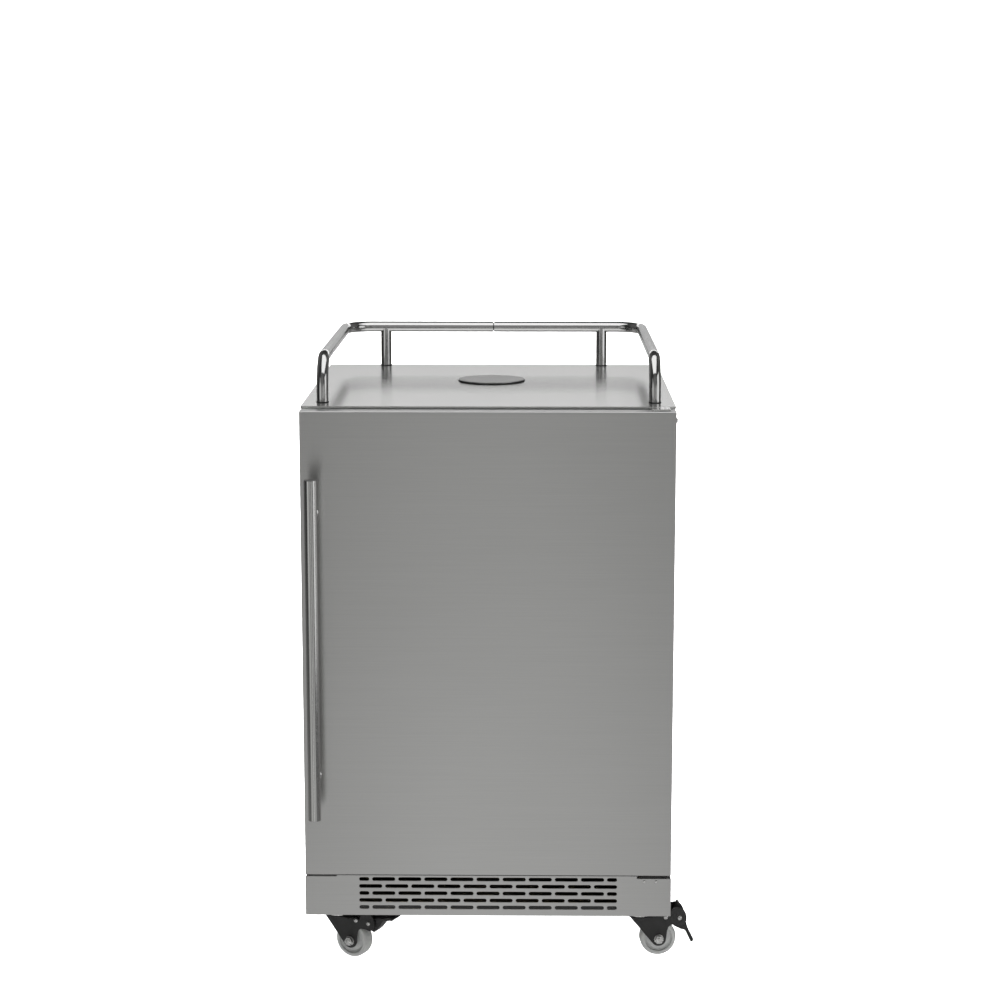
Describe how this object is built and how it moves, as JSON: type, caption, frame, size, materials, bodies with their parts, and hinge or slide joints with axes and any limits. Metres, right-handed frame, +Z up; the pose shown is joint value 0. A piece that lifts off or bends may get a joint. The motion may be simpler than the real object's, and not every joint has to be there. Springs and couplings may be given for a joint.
{
  "type": "kegerator",
  "caption": "Undercounter keg cooler on swivel casters, with a hinged stainless door, bar handle, slotted kick grille, capped tower hole and a guard rail round the worktop.",
  "frame": {"origin": "on the floor, under the middle of the whole object's box, with the handle and the brake pedals included", "axes": "+Z up; the door faces -Y; +X is to the right of someone who faces the door"},
  "size_m": [0.638, 0.681, 1.009],
  "materials": {
    "brushed_stainless": "horizontally brushed stainless sheet",
    "polished_tube": "polished stainless tube",
    "zinc_plated": "bright zinc plating",
    "galvanised_sheet": "galvanised sheet",
    "black_steel": "satin black e-coat",
    "compressor_black": "gloss black enamel",
    "aluminium_plate": "mill finish",
    "black_rubber": "matte",
    "grey_rubber": "grey thermoplastic rubber tread",
    "liner_plastic": "vacuum-formed white plastic",
    "black_plastic": "moulded black plastic",
    "foam": "rigid polyurethane foam",
    "lamp_plastic": "opal plastic"
  },
  "bodies": {
    "cabinet": {"cabinet_shell": "brushed_stainless", "back_panel": "galvanised_sheet", "base_pan": "galvanised_sheet", "cabinet_foam": "foam", "inner_liner": "liner_plastic", "keg_floor_plate": "brushed_stainless", "worktop": "brushed_stainless", "rail_left": "polished_tube", "rail_right": "polished_tube", "rail_joint_sleeve": "black_plastic", "rail_washer_front_left": "black_rubber", "rail_washer_front_right": "black_rubber", "rail_washer_rear_left": "black_rubber", "rail_washer_rear_right": "black_rubber", "kick_grille": "brushed_stainless", "grille_screw_left": "zinc_plated", "grille_screw_right": "zinc_plated", "upper_hinge": "zinc_plated", "lower_hinge": "black_steel", "evaporator_plate": "aluminium_plate", "evaporator_fan_frame": "black_plastic", "control_box": "black_plastic", "lamp_lens": "lamp_plastic", "compressor": "compressor_black", "condenser": "black_steel", "condenser_fan_frame": "black_plastic", "cord_gland": "black_plastic", "caster_stem_front_left": "zinc_plated", "caster_stem_front_right": "zinc_plated", "caster_stem_rear_left": "zinc_plated", "caster_stem_rear_right": "zinc_plated"},
    "door": {"door_skin": "brushed_stainless", "door_foam": "foam", "door_liner": "liner_plastic", "door_gasket": "black_rubber", "handle_bar": "polished_tube", "handle_standoff_lower": "polished_tube", "handle_standoff_upper": "polished_tube", "hinge_bush_lower": "black_plastic", "hinge_bush_upper": "black_plastic", "door_side_plug": "zinc_plated"},
    "tower_cap": {"tower_hole_cap": "brushed_stainless", "tower_cap_gasket": "black_rubber"},
    "dial": {"thermostat_dial": "lamp_plastic"},
    "evaporator_fan": {"evaporator_fan_blade": "black_plastic"},
    "condenser_fan": {"condenser_fan_blade": "black_plastic"},
    "swivel_front_left": {"caster_fork_front_left": "black_steel", "caster_axle_front_left": "zinc_plated"},
    "wheel_front_left": {"caster_wheel_front_left": "grey_rubber"},
    "brake_front_left": {"brake_lever_front_left": "black_plastic"},
    "swivel_front_right": {"caster_fork_front_right": "black_steel", "caster_axle_front_right": "zinc_plated"},
    "wheel_front_right": {"caster_wheel_front_right": "grey_rubber"},
    "brake_front_right": {"brake_lever_front_right": "black_plastic"},
    "swivel_rear_left": {"caster_fork_rear_left": "black_steel", "caster_axle_rear_left": "zinc_plated"},
    "wheel_rear_left": {"caster_wheel_rear_left": "grey_rubber"},
    "swivel_rear_right": {"caster_fork_rear_right": "black_steel", "caster_axle_rear_right": "zinc_plated"},
    "wheel_rear_right": {"caster_wheel_rear_right": "grey_rubber"}
  },
  "joints": [
    {"name": "door_hinge", "type": "hinge", "parent": "cabinet", "child": "door", "pos_m": [0.25946, -0.2645, 0.169], "axis": [0, 0, 1], "range_deg": [0, 110]},
    {"name": "tower_cap_lift", "type": "slide", "parent": "cabinet", "child": "tower_cap", "axis": [0, 0, 1], "range_m": [0, 0.06]},
    {"name": "thermostat_turn", "type": "hinge", "parent": "cabinet", "child": "dial", "pos_m": [0.15346, -0.2255, 0.862], "axis": [0, -1, 0], "range_deg": [-135, 135]},
    {"name": "evaporator_fan_spin", "type": "hinge", "parent": "cabinet", "child": "evaporator_fan", "pos_m": [-0.02154, 0.2655, 0.74], "axis": [0, 1, 0], "continuous": true},
    {"name": "condenser_fan_spin", "type": "hinge", "parent": "cabinet", "child": "condenser_fan", "pos_m": [-0.10554, 0.2755, 0.16], "axis": [1, 0, 0], "continuous": true},
    {"name": "swivel_turn_front_left", "type": "hinge", "parent": "cabinet", "child": "swivel_front_left", "pos_m": [-0.27254, -0.1805, 0.068], "axis": [0, 0, 1], "continuous": true},
    {"name": "wheel_spin_front_left", "type": "hinge", "parent": "swivel_front_left", "child": "wheel_front_left", "pos_m": [-0.24558, -0.19365, 0.03], "axis": [0.4384, 0.8988, 0], "continuous": true},
    {"name": "brake_press_front_left", "type": "hinge", "parent": "swivel_front_left", "child": "brake_front_left", "pos_m": [-0.21412, -0.20899, 0.065], "axis": [-0.4384, -0.8988, 0], "range_deg": [-80, 0]},
    {"name": "swivel_turn_front_right", "type": "hinge", "parent": "cabinet", "child": "swivel_front_right", "pos_m": [0.22946, -0.1805, 0.068], "axis": [0, 0, 1], "continuous": true},
    {"name": "wheel_spin_front_right", "type": "hinge", "parent": "swivel_front_right", "child": "wheel_front_right", "pos_m": [0.25929, -0.17736, 0.03], "axis": [-0.1045, 0.9945, 0], "continuous": true},
    {"name": "brake_press_front_right", "type": "hinge", "parent": "swivel_front_right", "child": "brake_front_right", "pos_m": [0.2941, -0.17371, 0.065], "axis": [0.1045, -0.9945, 0], "range_deg": [0, 80]},
    {"name": "swivel_turn_rear_left", "type": "hinge", "parent": "cabinet", "child": "swivel_rear_left", "pos_m": [-0.27254, 0.2795, 0.068], "axis": [0, 0, 1], "continuous": true},
    {"name": "wheel_spin_rear_left", "type": "hinge", "parent": "swivel_rear_left", "child": "wheel_rear_left", "pos_m": [-0.24401, 0.28877, 0.03], "axis": [-0.309, 0.9511, 0], "continuous": true},
    {"name": "swivel_turn_rear_right", "type": "hinge", "parent": "cabinet", "child": "swivel_rear_right", "pos_m": [0.22946, 0.2795, 0.068], "axis": [0, 0, 1], "continuous": true},
    {"name": "wheel_spin_rear_right", "type": "hinge", "parent": "swivel_rear_right", "child": "wheel_rear_right", "pos_m": [0.2588, 0.27326, 0.03], "axis": [0.2079, 0.9781, 0], "continuous": true}
  ]
}
